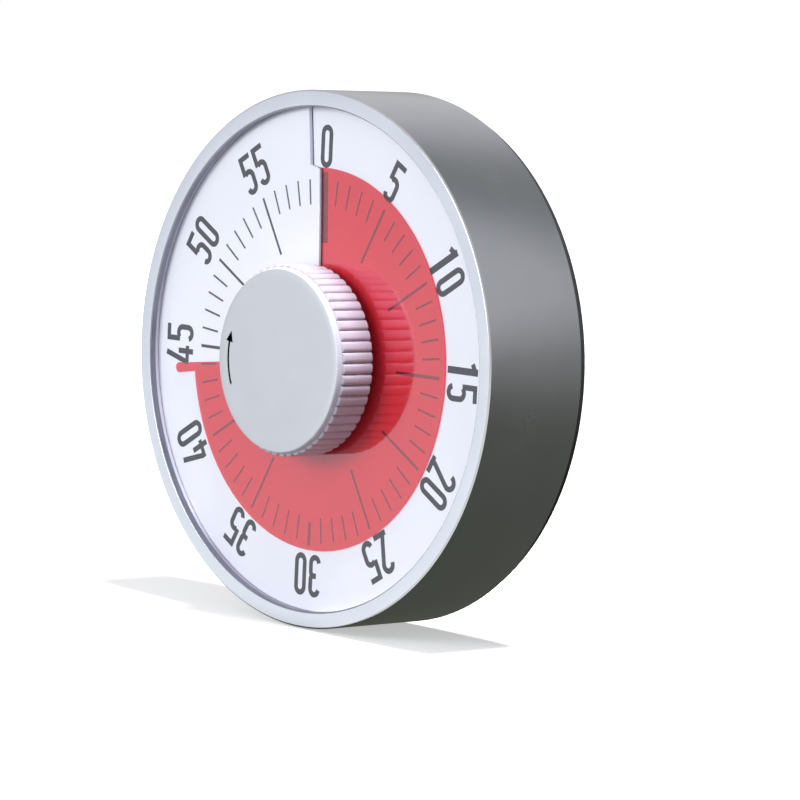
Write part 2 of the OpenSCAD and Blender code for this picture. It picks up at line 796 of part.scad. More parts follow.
// The film trails the pointer by almost one turn; the last stations widen into the round-ended pointer.
module red_film() {
    half_w = pointer_w / 2;
    pointer_deg = pointer_w / (pointer_r - half_w) * 180 / PI;
    from = rest_cw - film_span;
    to = rest_cw - pointer_deg - eps;
    sheet = [for (i = [0 : sheet_steps]) [[film_in_r, from + (to - from) * i / sheet_steps],
                                          [film_r, from + (to - from) * i / sheet_steps]]];
    tip = [for (k = [0 : pointer_round_steps]) let (
        turn = 180 * k / pointer_round_steps,
        cw = rest_cw - pointer_deg / 2 * (1 + cos(turn)))
        [[film_in_r, cw], [pointer_r - half_w + half_w * sin(turn), cw]]];
    color("crimson", 0.7) spiral_sheet(concat(sheet, tip), film_lift, film_t);
}

// ---- Train ----

module second_arbor() {
    color("silver") move_to(second_at) arbor(great_module, second_phase, great_z + wheel_t / 2);
}

module second_wheel() {
    color("gold") move_to(second_at, second_z) wheel(large_teeth, second_module, arbor_r, 5, 1.9);
}

module third_arbor() {
    color("silver") move_to(third_at) arbor(second_module, third_phase, second_z + wheel_t / 2);
}

module third_wheel() {
    color("gold") move_to(third_at, third_z) wheel(third_teeth, third_module, arbor_r, 5, 1.6);
}

module escape_arbor() {
    color("silver") move_to(escape_at) arbor(third_module, escape_phase, third_z + wheel_t / 2);
}

module escape_wheel() {
    root_r = escape_r - escape_tooth;
    points = [for (k = [0 : escape_teeth - 1]) let (a = 360 * k / escape_teeth, p = 360 / escape_teeth)
        each [cw_point(root_r, a), cw_point(escape_r, a + 0.2 * p), cw_point(escape_r, a + 0.35 * p),
              cw_point(root_r, a + 0.7 * p)]];
    color("gold") move_to(escape_at, escape_z) linear_extrude(height = escape_t) difference() {
        polygon(points);
        circle(r = arbor_r, $fn = FINE);
    }
}

module balance_staff() {
    color("silver") move_to(balance_at) {
        rod(pivot_r, rear_plate_z, front_plate_z + plate_t - eps);
        rod(arbor_r, rear_plate_top_z + end_shake, front_plate_z - end_shake);
    }
}

// Two arms from the staff, each with a pin that stands just outside the escape wheel's tips.
module pallet_anchor() {
    pin_ring = escape_r + pallet_pin_gap + pallet_pin_r;
    color("goldenrod") difference() {
        union() {
            rod(arbor_r + hub_wall, escape_z, escape_z + escape_t, at = balance_at);
            for (side = [-1, 1]) {
                pin_at = step_to(escape_at, pin_ring, balance_dir + side * pallet_spread);
                run = pin_at - balance_at;
                move_to(balance_at, escape_z) rotate([0, 0, atan2(run[1], run[0])])
                    translate([0, -pallet_arm_w / 2, 0]) cube([norm(run), pallet_arm_w, escape_t]);
                rod(pallet_pin_r, escape_z, escape_z + escape_t, at = pin_at);
            }
        }
        rod(arbor_r, escape_z - over, escape_z + escape_t + over, at = balance_at);
    }
}

module balance_wheel() {
    color("gold") move_to(balance_at, balance_z) difference() {
        union() {
            ring(balance_r - balance_rim, balance_r, 0, balance_t);
            translate([-balance_r + balance_rim / 2, -balance_arm_w / 2, 0])
                cube([2 * balance_r - balance_rim, balance_arm_w, balance_t]);
            rod(arbor_r + hub_wall, 0, balance_t);
        }
        rod(arbor_r, -over, balance_t + over);
    }
}

// ---- Nodes ----

upright() case_shell();
upright() spacer_ring();
upright() dial_plate();
upright() rear_cover();
upright() cover_screws();
upright() magnets();
upright() inner_frame();
upright() frame_screws();
upright() front_plate();
upright() rear_plate();
upright() pillars();
upright() pillar_screws();
upright() spring_drum();
upright() mainspring();
upright() bell_post();
upright() bell();
upright() bell_screw();
upright() hammer_post();
upright() post_clip();
upright() knob_shell();
upright() knob_core();
upright() main_arbor();
upright() arbor_clip();
upright() great_wheel();
upright() ratchet_wheel();
upright() click();
upright() click_rivet();
upright() film_collar();
upright() red_film();
upright() second_arbor();
upright() second_wheel();
upright() third_arbor();
upright() third_wheel();
upright() escape_arbor();
upright() escape_wheel();
upright() balance_staff();
upright() pallet_anchor();
upright() balance_wheel();
upright() hammer_lever();
upright() hammer_head();
upright() hammer_spring();
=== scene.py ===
"""Looks of the visual countdown timer: finish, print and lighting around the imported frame."""

import math

import bmesh
import bpy
from mathutils import Matrix, Vector
from mathutils.geometry import delaunay_2d_cdt


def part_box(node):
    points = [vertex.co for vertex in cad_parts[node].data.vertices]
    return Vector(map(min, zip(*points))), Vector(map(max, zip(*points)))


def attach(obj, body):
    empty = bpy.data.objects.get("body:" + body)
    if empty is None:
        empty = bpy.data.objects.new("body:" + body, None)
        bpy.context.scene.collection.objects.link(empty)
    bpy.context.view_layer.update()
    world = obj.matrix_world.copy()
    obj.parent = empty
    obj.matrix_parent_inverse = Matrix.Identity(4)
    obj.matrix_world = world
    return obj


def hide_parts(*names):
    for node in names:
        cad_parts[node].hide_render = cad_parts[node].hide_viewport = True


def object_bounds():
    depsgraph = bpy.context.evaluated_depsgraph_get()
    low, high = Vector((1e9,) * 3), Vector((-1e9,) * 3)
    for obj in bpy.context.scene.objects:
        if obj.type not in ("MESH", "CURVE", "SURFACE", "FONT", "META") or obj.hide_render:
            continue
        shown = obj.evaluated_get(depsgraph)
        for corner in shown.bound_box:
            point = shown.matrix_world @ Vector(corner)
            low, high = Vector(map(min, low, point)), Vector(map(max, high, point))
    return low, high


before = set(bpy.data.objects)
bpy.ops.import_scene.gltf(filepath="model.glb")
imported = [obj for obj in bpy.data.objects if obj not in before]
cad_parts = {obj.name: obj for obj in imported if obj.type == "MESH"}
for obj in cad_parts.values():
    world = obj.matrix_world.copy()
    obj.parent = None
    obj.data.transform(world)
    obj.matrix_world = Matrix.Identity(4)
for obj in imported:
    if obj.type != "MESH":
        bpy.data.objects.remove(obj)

CAD_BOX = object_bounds()

# ---- Sizes in millimetres, in the face frame: x right, y up, z from the back plane to the reader ----

MM = 0.001


def measure(node):
    """A CAD node's largest radius and its lowest and highest z, in millimetres."""
    low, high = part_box(node)
    return max(high.x, -low.x) / MM, -high.y / MM, -low.y / MM


CASE_R, CASE_LOW_Z, FRONT_Z = measure("case_shell")
KNOB_R, KNOB_LOW_Z, KNOB_FACE_Z = measure("knob_shell")
RING_OUT_R, RING_LOW_Z, RING_TOP_Z = measure("spacer_ring")

# Case and ring. The rounds are how far the curves at their outlines' corners reach
CASE_WALL = 1.5
RIM_W = 2.44
RIM_CHAMFER = 0.2
EDGE_CHAMFER = 0.2
EDGE_ROUND = 0.08
BACK_ROUND = 0.05
BORE_ROUND = 0.04
BORE_R = CASE_R - CASE_WALL
RIM_INNER_R = CASE_R - RIM_W
RING_SETBACK = 0.2
RING_ROUND = 0.05
RING_INNER_R = RIM_INNER_R + RING_SETBACK

# Dial: a sheet on a spiral, cut by a stepped slit whose inner part leans
SPIRAL_RISE = 0.6
DIAL_SINK = 1.96
DIAL_START_Z = FRONT_Z - DIAL_SINK - SPIRAL_RISE / 2
DIAL_T = 0.25
DIAL_CLEAR = 0.1
DIAL_R = RING_INNER_R - DIAL_CLEAR
DIAL_HOLE_R = 9
SLIT_GAP_DEG = 0.25
SLIT_STEP_DEG = 4.5
SLIT_BLEND_DEG = 18
SLIT_LEAN_DEG = 1.4
STEP_TRIM_DEG = 0.3
LEAN_FROM_R = 13
STEP_IN_R = 27.6
STEP_OUT_R = 28.2
DIAL_INNER_RADII = (DIAL_HOLE_R, LEAN_FROM_R, 18, 22, 25, STEP_IN_R)
DIAL_OUTER_RADII = (STEP_OUT_R, 32, DIAL_R)
HEM_GAP = 0.03

# Film, on the dial's spiral
REST_CW = 264
FILM_SPAN_DEG = 358
FILM_IN_R = 8.52
FILM_R = 27.8
FILM_T = 0.14
FILM_CLEAR = 0.08
FILM_LIFT = (DIAL_T + FILM_T) / 2 + FILM_CLEAR
FILM_INNER_RADII = (FILM_IN_R, 12, 16, 20, 24, FILM_R - 0.4)
POINTER_R = 32.3
POINTER_W = 1.45
POINTER_GAP_DEG = 0.01

# Knob. The rear rows are (share of the ribs' depth, radius, z), the profiles in front (radius, z)
RIB_COUNT = 54
RIB_DEPTH = 0.45
RIB_ROOT_R = KNOB_R - RIB_DEPTH
RIB_ROUND = 0.3
RIB_SQUARENESS = 3
RIB_FULLNESS = 1.8
KNOB_FACE_R = 13.15
KNOB_BAND = 0.8
KNOB_WALL = 1.6
BAND_Z = KNOB_FACE_Z - KNOB_BAND
CAVITY_R = RIB_ROOT_R - KNOB_WALL
CAVITY_Z = KNOB_FACE_Z - KNOB_WALL
REAR_ROWS = [(0, CAVITY_R, CAVITY_Z), (0, CAVITY_R, KNOB_LOW_Z),
             (0.6, RIB_ROOT_R - 0.1, KNOB_LOW_Z), (1, RIB_ROOT_R, KNOB_LOW_Z + 0.15)]
BAND_PROFILE = [(RIB_ROOT_R - 0.01, BAND_Z + 0.05), (RIB_ROOT_R - 0.06, BAND_Z + 0.35),
                (KNOB_FACE_R + 0.12, KNOB_FACE_Z - 0.16), (KNOB_FACE_R + 0.06, KNOB_FACE_Z - 0.07)]
FACE_PROFILE = [(KNOB_FACE_R - 0.01, KNOB_FACE_Z - 0.015), (KNOB_FACE_R - 0.1, KNOB_FACE_Z),
                (KNOB_FACE_R - 1, KNOB_FACE_Z), (KNOB_FACE_R / 2, KNOB_FACE_Z)]

# The arrow on the knob's face
ARROW_R = 11.1
ARROW_W = 0.38
ARROW_START_CW = 247
ARROW_NECK_CW = 279.5
ARROW_TIP_CW = 288
ARROW_OVERLAP_DEG = 1
ARROW_HEAD_HALF = 0.76

# Steps of the curves
ROUND_STEPS = 256
TURN_STEPS = 360
CORNER_STEPS = 4
POINTER_STEPS = 16
RIB_STEPS = 12
RIB_END_STEPS = 7
ARROW_STEPS = 16

# Minute marks. The two special ones are angle, inner and outer radius, width and sideways shift
MINUTE_DEG = 6
INK_T = 0.03
PRINT_DROP = 0.3
MARK_OUT_R = 26.4
BOLD_OUT_R = 26.9
MINUTE_IN_R = 22.75
FIVE_IN_R = 17.2
MINUTE_W = 0.29
FIVE_W = 0.41
QUARTER_W = 0.46
# The bar of 0 is wider and longer than a printed tick: beside the slit it is partly print and partly
# painted shadow of the dial's step
ZERO_MARK_AND_STEP_SHADOW = (-2.95, FIVE_IN_R, BOLD_OUT_R + 0.5, 1.16, 1.36)
HALF_MARK = (180, 23.5, BOLD_OUT_R, 0.6, 0)

# Numbers
NUMERAL_EVERY = 5
NUMERAL_R = 31.2
NUMERAL_H = 6.25
NUMERAL_W = 2.56
WIDE_DIGITS = {"2": 2.7, "4": 2.75}
NUMERAL_STROKE = 0.81
NUMERAL_GAP = 0.6

# How far each printed number stands off its own place: outwards, and clockwise
NUMERAL_OFF = {5: (-0.5, -0.42), 10: (-0.28, 0.47), 20: (-0.28, -0.74), 25: (-0.48, 0.1),
               35: (-0.21, 0.14), 40: (0.17, 0.88), 45: (0.27, -0.16), 50: (-0.12, 0.23),
               55: (-0.24, 0.1)}


def at(x, y, z):
    """A point of the face frame as a scene vector in metres."""
    return Vector((x, -z, y)) * MM


def polar(r, cw):
    """x and y of a point at radius r, cw degrees clockwise from the top."""
    angle = math.radians(cw)
    return r * math.sin(angle), r * math.cos(angle)


def dial_z(cw):
    """Height of the dial's middle surface."""
    return DIAL_START_Z + SPIRAL_RISE * cw / 360


# ---- Materials ----


def add(tree, kind, inputs=None, **settings):
    """A new shader node. Each input is a value or another node's output."""
    node = tree.nodes.new(kind)
    for key, value in settings.items():
        setattr(node, key, value)
    for key, value in (inputs or {}).items():
        socket = node.inputs[key]
        if isinstance(value, bpy.types.NodeSocket):
            tree.links.new(value, socket)
        else:
            socket.default_value = value
    return node


def blank(name):
    """An empty node material, its tree and its surface socket."""
    material = bpy.data.materials.new(name)
    material.use_nodes = True
    tree = material.node_tree
    tree.nodes.clear()
    out = add(tree, "ShaderNodeOutputMaterial")
    return material, tree, out.inputs["Surface"]


def noise(tree, size_mm, detail, stretch=(1, 1, 1)):
    """Noise between 0 and 1 with features of about size_mm, stretched along each axis."""
    place = add(tree, "ShaderNodeTexCoord").outputs["Object"]
    scale = [1 / (size_mm * MM * s) for s in stretch]
    mapped = add(tree, "ShaderNodeMapping", {"Vector": place, "Scale": scale})
    texture = add(tree, "ShaderNodeTexNoise", {
        "Vector": mapped.outputs[0], "Scale": 1.0, "Detail": detail})
    return texture.outputs["Fac"]


def ranged(tree, value, low, high, start=0.25, end=0.75):
    """The value's range start..end spread over low..high."""
    return add(tree, "ShaderNodeMapRange", {
        "Value": value, "From Min": start, "From Max": end, "To Min": low, "To Max": high}).outputs[0]


def blended(tree, factor, first, second):
    """A colour between two, by factor."""
    node = add(tree, "ShaderNodeMix", {"Factor": factor}, data_type="RGBA")
    sockets = [s for s in node.inputs if s.type == "RGBA"]
    for socket, colour in zip(sockets, (first, second)):
        if isinstance(colour, bpy.types.NodeSocket):
            tree.links.new(colour, socket)
        else:
            socket.default_value = (*colour, 1)
    return [s for s in node.outputs if s.type == "RGBA"][0]


def bumped(tree, height, depth_mm):
    """A normal for that height, depth_mm from low to high."""
    return add(tree, "ShaderNodeBump", {
        "Height": height, "Distance": depth_mm * MM, "Strength": 1.0}).outputs[0]


COLOUR_DETAIL = 3.0
ROUGH_DETAIL = 4.0
ROUGH_PATCH = 0.6


def finish(name, dark, light, rough, spread=0.05, patch_mm=9.0, grain_mm=0.25, grain_depth=0.004,
           stretch=(1, 1, 1), metallic=0.0, **sockets):
    """A surface whose colour drifts between two tones, with patches of roughness and a fine grain."""
    material, tree, surface = blank(name)
    patches = noise(tree, patch_mm, COLOUR_DETAIL)
    grain = noise(tree, grain_mm, COLOUR_DETAIL, stretch)
    rub = noise(tree, patch_mm * ROUGH_PATCH, ROUGH_DETAIL)
    shader = add(tree, "ShaderNodeBsdfPrincipled", {
        "Base Color": blended(tree, ranged(tree, patches, 0, 1), dark, light),
        "Roughness": ranged(tree, rub, rough - spread, rough + spread),
        "Metallic": metallic,
        "Normal": bumped(tree, grain, grain_depth)})
    for key, value in sockets.items():
        shader.inputs[key.replace("_", " ")].default_value = value
    tree.links.new(shader.outputs[0], surface)
    return material


FILM_IOR = 1.9
FILM_HAZE = 0.08
FILM_TINTS = (0.980, 0.38, 0.41), (0.988, 0.40, 0.43)
FILM_DYE = (0.86, 0.06, 0.09, 1)
# The film's mirror colour: a real reflection carrying a painted blue cast of the surroundings
FILM_MIRROR_BLUE_CAST = (0.78, 0.86, 1.0, 1)
FILM_ROUGH = 0.035, 0.07
FILM_WAVE_MM, FILM_WAVE_DEPTH = 14.0, 0.012
FILM_SCUFF_MM, FILM_SCUFF_STRETCH = 0.8, (1, 1, 6)
FILM_TINT_MM = 12.0


def film_material():
    """Clear dyed film: light passes it with a tint, and it mirrors as polyester does, with a painted blue
    cast in its reflection.
    """
    material, tree, surface = blank("film_red")
    waves = bumped(tree, noise(tree, FILM_WAVE_MM, 1.0), FILM_WAVE_DEPTH)
    scuffs = ranged(tree, noise(tree, FILM_SCUFF_MM, 5.0, FILM_SCUFF_STRETCH), *FILM_ROUGH)
    tint = blended(tree, noise(tree, FILM_TINT_MM, 2.0), *FILM_TINTS)
    clear = add(tree, "ShaderNodeBsdfTransparent", {"Color": tint})
    dye = add(tree, "ShaderNodeBsdfDiffuse", {"Color": FILM_DYE})
    body = add(tree, "ShaderNodeMixShader", {0: FILM_HAZE, 1: clear.outputs[0], 2: dye.outputs[0]})
    gloss = add(tree, "ShaderNodeBsdfGlossy", {
        "Color": FILM_MIRROR_BLUE_CAST, "Roughness": scuffs, "Normal": waves})
    inside = add(tree, "ShaderNodeNewGeometry").outputs["Backfacing"]
    index = ranged(tree, inside, FILM_IOR, 1 / FILM_IOR, 0, 1)
    facing = add(tree, "ShaderNodeFresnel", {"IOR": index, "Normal": waves})
    mix = add(tree, "ShaderNodeMixShader", {
        0: facing.outputs[0], 1: body.outputs[0], 2: gloss.outputs[0]})
    tree.links.new(mix.outputs[0], surface)
    return material


MATERIALS = {
    "case": finish("case_aluminium", (0.55, 0.58, 0.665), (0.60, 0.63, 0.72), 0.24, spread=0.04,
                   patch_mm=14, grain_mm=0.16, grain_depth=0.002, metallic=1.0),
    # The chamfer: a darker copy of the case aluminium, painted shade that dims its highlight
    "case_cut_painted_shade": finish("case_cut_painted_shade", (0.44, 0.45, 0.475), (0.49, 0.50, 0.525), 0.2, spread=0.04,
                       patch_mm=6, grain_mm=0.12, grain_depth=0.0006, metallic=1.0),
    # The rim's inner wall: the aluminium painted dark, as painted shade where the wall stands out of the
    # light
    "case_inside_painted_shade": finish("case_inside_painted_shade", (0.21, 0.22, 0.27), (0.27, 0.28, 0.34), 0.36, spread=0.05,
                          patch_mm=8, grain_mm=0.16, grain_depth=0.002, metallic=1.0),
    "knob_face": finish("knob_face", (0.42, 0.437, 0.485), (0.44, 0.457, 0.505), 0.5, spread=0.03,
                        patch_mm=6, grain_mm=0.12, grain_depth=0.003, metallic=1.0),
    # Knob ribs: a silver-grey of their own with a purple cast painted in, a painted reflection of the red
    # film in the metal
    "knob_ribs_painted_reflection": finish("knob_ribs_painted_reflection", (0.425, 0.39, 0.48), (0.46, 0.42, 0.515), 0.3, spread=0.04,
                        patch_mm=3, grain_mm=0.2, grain_depth=0.0008, Specular_IOR_Level=0.35),
    "knob_band": finish("knob_band", (0.50, 0.495, 0.595), (0.54, 0.535, 0.635), 0.3, spread=0.04,
                        patch_mm=3, grain_mm=0.2, grain_depth=0.0008, metallic=0.08),
    "dial": finish("dial_white", (0.835, 0.855, 0.97), (0.85, 0.87, 0.98), 0.32, spread=0.03,
                   patch_mm=16, grain_mm=0.3, grain_depth=0.001, Specular_IOR_Level=0.4),
    "ink": finish("dial_ink", (0.048, 0.053, 0.071), (0.062, 0.067, 0.088), 0.42, spread=0.05,
                  patch_mm=1.2, grain_mm=0.12, grain_depth=0.002),
    "arrow_ink": finish("arrow_ink", (0.010, 0.011, 0.016), (0.018, 0.019, 0.026), 0.45, spread=0.05,
                        patch_mm=1.0, grain_mm=0.12, grain_depth=0.002),
    "ring": finish("ring_grey", (0.62, 0.61, 0.71), (0.68, 0.67, 0.77), 0.35, spread=0.05,
                   patch_mm=8, grain_mm=0.2, grain_depth=0.002),
    "cover": finish("cover_black", (0.018, 0.018, 0.020), (0.030, 0.030, 0.033), 0.5, spread=0.06,
                    patch_mm=12, grain_mm=0.35, grain_depth=0.018),
    "film": film_material(),
    "collar": finish("collar_red", (0.42, 0.03, 0.035), (0.50, 0.04, 0.045), 0.4, patch_mm=4),
    "plastic": finish("frame_plastic", (0.66, 0.66, 0.64), (0.74, 0.74, 0.72), 0.45, patch_mm=7),
    "screw": finish("screw_steel", (0.50, 0.50, 0.51), (0.62, 0.62, 0.62), 0.28, patch_mm=1.2,
                    grain_mm=0.1, grain_depth=0.003, metallic=1.0),
    "magnet": finish("magnet_nickel", (0.62, 0.61, 0.58), (0.70, 0.69, 0.66), 0.18, patch_mm=3,
                     grain_mm=0.15, grain_depth=0.002, metallic=1.0),
    "brass": finish("plate_brass", (0.60, 0.44, 0.18), (0.72, 0.55, 0.25), 0.28, patch_mm=4,
                    grain_mm=0.12, grain_depth=0.003, stretch=(12, 1, 1), metallic=1.0),
    "spring": finish("spring_steel", (0.16, 0.18, 0.24), (0.26, 0.29, 0.36), 0.25, patch_mm=2,
                     grain_mm=0.1, grain_depth=0.002, metallic=1.0),
    "arbor": finish("arbor_steel", (0.55, 0.55, 0.56), (0.66, 0.66, 0.67), 0.2, patch_mm=1.5,
                    grain_mm=0.08, grain_depth=0.002, metallic=1.0),
    "bell": finish("bell_metal", (0.66, 0.64, 0.60), (0.76, 0.74, 0.70), 0.14, patch_mm=3,
                   grain_mm=0.2, grain_depth=0.001, metallic=1.0),
    "drum": finish("drum_steel", (0.42, 0.39, 0.33), (0.52, 0.49, 0.43), 0.32, patch_mm=3,
                   metallic=1.0),
}

NODE_FINISH = {
    "ring": ["spacer_ring"],
    "cover": ["rear_cover"],
    "collar": ["film_collar"],
    "plastic": ["inner_frame", "knob_core"],
    "screw": ["cover_screws", "frame_screws", "pillar_screws", "bell_screw"],
    "magnet": ["magnets"],
    "brass": ["front_plate", "rear_plate", "great_wheel", "second_wheel", "third_wheel", "escape_wheel",
              "balance_wheel", "pillars", "bell_post", "click_rivet", "pallet_anchor", "hammer_head"],
    "spring": ["mainspring", "hammer_spring"],
    "arbor": ["main_arbor", "second_arbor", "third_arbor", "escape_arbor", "balance_staff",
              "ratchet_wheel", "click", "arbor_clip", "post_clip", "hammer_post", "hammer_lever"],
    "bell": ["bell"],
    "drum": ["spring_drum"],
}


def dress_nodes():
    """The carried-over CAD nodes take their finishes."""
    for key, names in NODE_FINISH.items():
        for name in names:
            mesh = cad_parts[name].data
            mesh.materials.clear()
            mesh.materials.append(MATERIALS[key])


# ---- Building pieces ----

MERGE_DIST = 1e-8
EDGE_SHARE = 0.45


def piece(name, points, faces, keys, body, replaced=(), crease=32, face_keys=None):
    """A mesh object from points in the face frame. face_keys picks one of the keys for each face."""
    mesh = bpy.data.meshes.new(name)
    mesh.from_pydata([at(*p) for p in points], [], faces)
    for key in keys:
        mesh.materials.append(MATERIALS[key])
    if face_keys:
        mesh.polygons.foreach_set("material_index", face_keys)
    clean = bmesh.new()
    clean.from_mesh(mesh)
    bmesh.ops.remove_doubles(clean, verts=clean.verts, dist=MERGE_DIST)
    bmesh.ops.recalc_face_normals(clean, faces=clean.faces)
    clean.to_mesh(mesh)
    clean.free()
    mesh.shade_smooth()
    mesh.set_sharp_from_angle(angle=math.radians(crease))
    thing = bpy.data.objects.new(name, mesh)
    bpy.context.scene.collection.objects.link(thing)
    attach(thing, body)
    if replaced:
        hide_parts(*replaced)


def softened(corners):
    """A closed outline of (r, z, radius) corners with each corner rounded."""
    outline = []
    for k, (r, z, radius) in enumerate(corners):
        corner = Vector((r, z))
        before = Vector(corners[k - 1][:2]) - corner
        after = Vector(corners[(k + 1) % len(corners)][:2]) - corner
        reach = min(radius, before.length * EDGE_SHARE, after.length * EDGE_SHARE)
        if reach <= 0:
            outline.append(corner)
            continue
        start = corner + before.normalized() * reach
        end = corner + after.normalized() * reach
        for n in range(CORNER_STEPS + 1):
            t = n / CORNER_STEPS
            outline.append(start * (1 - t) ** 2 + corner * 2 * t * (1 - t) + end * t ** 2)
    return [tuple(p) for p in outline]


def revolved(outline):
    """Points and faces of a closed outline turned about the dial's axis."""
    rows = len(outline)
    points, faces = [], []
    for k in range(ROUND_STEPS):
        here, there = k * rows, (k + 1) % ROUND_STEPS * rows
        points += [(*polar(r, 360 * k / ROUND_STEPS), z) for r, z in outline]
        for n in range(rows):
            m = (n + 1) % rows
            faces.append((here + n, here + m, there + m, there + n))
    return points, faces


def spiral_solid(stations, lift, thickness):
    """A thin solid on the spiral. Each station is a row of (radius, cw), from the inner edge outwards."""
    rows, cols = len(stations), len(stations[0])
    under = rows * cols
    points = [(*polar(r, cw), dial_z(cw) + lift + side * thickness / 2)
              for side in (1, -1) for row in stations for r, cw in row]
    faces = []
    for i in range(rows - 1):
        for j in range(cols - 1):
            a, b = i * cols + j, (i + 1) * cols + j
            faces.append((a, a + 1, b + 1, b))
            faces.append((a + under, b + under, b + 1 + under, a + 1 + under))
        for a in (i * cols, i * cols + cols - 1):
            faces.append((a, a + cols, a + cols + under, a + under))
    for row in (0, rows - 1):
        for j in range(cols - 1):
            a = row * cols + j
            faces.append((a, a + 1, a + 1 + under, a + under))
    return points, faces


# ---- Case ----

# Keys of the case's faces: satin, the chamfer, and the rim's inner wall with painted shade
SATIN, CUT, INNER = range(3)
SAME_R = 0.005
LEVEL = 0.002
CUT_REACH = 0.1


def case_key(first, second):
    """The case's finish between two points of its outline: satin, the cut chamfer in a darker tone that
    is painted shade to dim its highlight, or the inner wall with painted shade.
    """
    if abs(first[0] - RIM_INNER_R) < SAME_R and abs(second[0] - RIM_INNER_R) < SAME_R:
        return INNER
    r = (first[0] + second[0]) / 2
    slanted = abs(first[0] - second[0]) > LEVEL and abs(first[1] - second[1]) > LEVEL
    if slanted and r < RIM_INNER_R + EDGE_CHAMFER and first[1] > RING_TOP_Z:
        return INNER
    return CUT if slanted and r > CASE_R - RIM_CHAMFER - CUT_REACH else SATIN


def build_case():
    """The aluminium tube with its flat rim and cut chamfer, and painted shade on the rim's inner wall."""
    outline = softened([
        (CASE_R - EDGE_CHAMFER, CASE_LOW_Z, BACK_ROUND),
        (CASE_R, CASE_LOW_Z + EDGE_CHAMFER, EDGE_ROUND),
        (CASE_R, FRONT_Z - RIM_CHAMFER, EDGE_ROUND),
        (CASE_R - RIM_CHAMFER, FRONT_Z, EDGE_ROUND),
        (RIM_INNER_R + EDGE_CHAMFER, FRONT_Z, EDGE_ROUND),
        (RIM_INNER_R, FRONT_Z - EDGE_CHAMFER, EDGE_ROUND),
        (RIM_INNER_R, RING_TOP_Z, BORE_ROUND),
        (BORE_R, RING_TOP_Z, 0),
        (BORE_R, CASE_LOW_Z, BORE_ROUND)])
    points, faces = revolved(outline)
    keys = [case_key(first, second) for first, second in zip(outline, [*outline[1:], outline[0]])]
    piece("case_tube", points, faces, ["case", "case_cut_painted_shade", "case_inside_painted_shade"], "root",
          ["case_shell"], face_keys=keys * ROUND_STEPS)


def build_ring():
    """The plastic ring that stands on the frame and holds the dial's edge."""
    corners = [(RING_INNER_R, RING_LOW_Z), (RING_INNER_R, RING_TOP_Z),
               (RING_OUT_R, RING_TOP_Z), (RING_OUT_R, RING_LOW_Z)]
    points, faces = revolved(softened([(r, z, RING_ROUND) for r, z in corners]))
    piece("dial_ring", points, faces, ["ring"], "root", ["spacer_ring"])


# ---- Dial and print ----

FILL_INSIDE = 1
FLAT_EPSILON = 1e-5
MITRE_LIMIT = 0.5


def lean(r):
    """How far the slit's inner part leans back at radius r, in degrees."""
    return SLIT_LEAN_DEG * max(0, (r - LEAN_FROM_R) / (STEP_IN_R - LEAN_FROM_R))


def dial_stations():
    """The dial's rows of (radius, cw). Near the slit the inner part leans and the outer part steps."""
    span = 360 - SLIT_GAP_DEG
    stations = []
    for k in range(TURN_STEPS + 1):
        inner_cw = SLIT_GAP_DEG / 2 + span * k / TURN_STEPS
        from_end = min(k, TURN_STEPS - k) * span / TURN_STEPS
        nearness = max(0, 1 - from_end / SLIT_BLEND_DEG)
        outer_cw = inner_cw - (SLIT_STEP_DEG + SLIT_LEAN_DEG - STEP_TRIM_DEG) * nearness
        inner = [(r, inner_cw - lean(r) * nearness) for r in DIAL_INNER_RADII]
        stations.append(inner + [(r, outer_cw) for r in DIAL_OUTER_RADII])
    return stations


def build_dial():
    """The white sheet. Its upper edge at the slit hems down to the film, and past the step to itself."""
    stations = dial_stations()
    points, faces = spiral_solid(stations, 0, DIAL_T)
    film_top = FILM_LIFT + FILM_T / 2 + HEM_GAP
    sheet_top = DIAL_T / 2 + HEM_GAP
    last_row = len(points) - len(stations[0])
    for k, (r, _) in enumerate(stations[-1]):
        x, y, _ = points[last_row + k]
        hem = film_top if r <= STEP_IN_R else sheet_top
        points[last_row + k] = (x, y, DIAL_START_Z + hem)
    piece("dial_sheet", points, faces, ["dial"], "root", ["dial_plate"])


def turns_left(polygon):
    """True where the polygon's corners run anticlockwise."""
    pairs = zip(polygon, [*polygon[1:], polygon[0]])
    return sum(a[0] * b[1] - b[0] * a[1] for a, b in pairs) > 0


def ink(name, shapes, key, body, height):
    """Groups of flat shapes as one thin solid, joined where they overlap. Its middle is height(x, y, k)
    for group k."""
    points, faces = [], []
    for group, polygons in enumerate(shapes):
        polygons = [polygon if turns_left(polygon) else polygon[::-1] for polygon in polygons]
        verts = [Vector(p) for polygon in polygons for p in polygon]
        rings, used = [], 0
        for polygon in polygons:
            rings.append(list(range(used, used + len(polygon))))
            used += len(polygon)
        flat, _, tris, _, _, owners = delaunay_2d_cdt(verts, [], rings, FILL_INSIDE, FLAT_EPSILON)
        tris = [tri for tri, owner in zip(tris, owners) if owner]
        base, count = len(points), len(flat)
        for side in (1, -1):
            points += [(p.x, p.y, height(p.x, p.y, group) + side * INK_T / 2) for p in flat]
        edges = {}
        for tri in tris:
            faces.append([base + i for i in tri])
            faces.append([base + count + i for i in reversed(tri)])
            for a, b in zip(tri, [*tri[1:], tri[0]]):
                edges[(a, b)] = (b, a)
        for (a, b), back in edges.items():
            if back not in edges:
                faces.append((base + b, base + a, base + count + a, base + count + b))
    piece(name, points, faces, [key], body)


def dial_top(x, y, near_cw):
    """Height of the dial's printed side at a point near that angle."""
    cw = math.degrees(math.atan2(x, y))
    cw += 360 * round((near_cw - cw) / 360)
    return dial_z(cw) + DIAL_T / 2


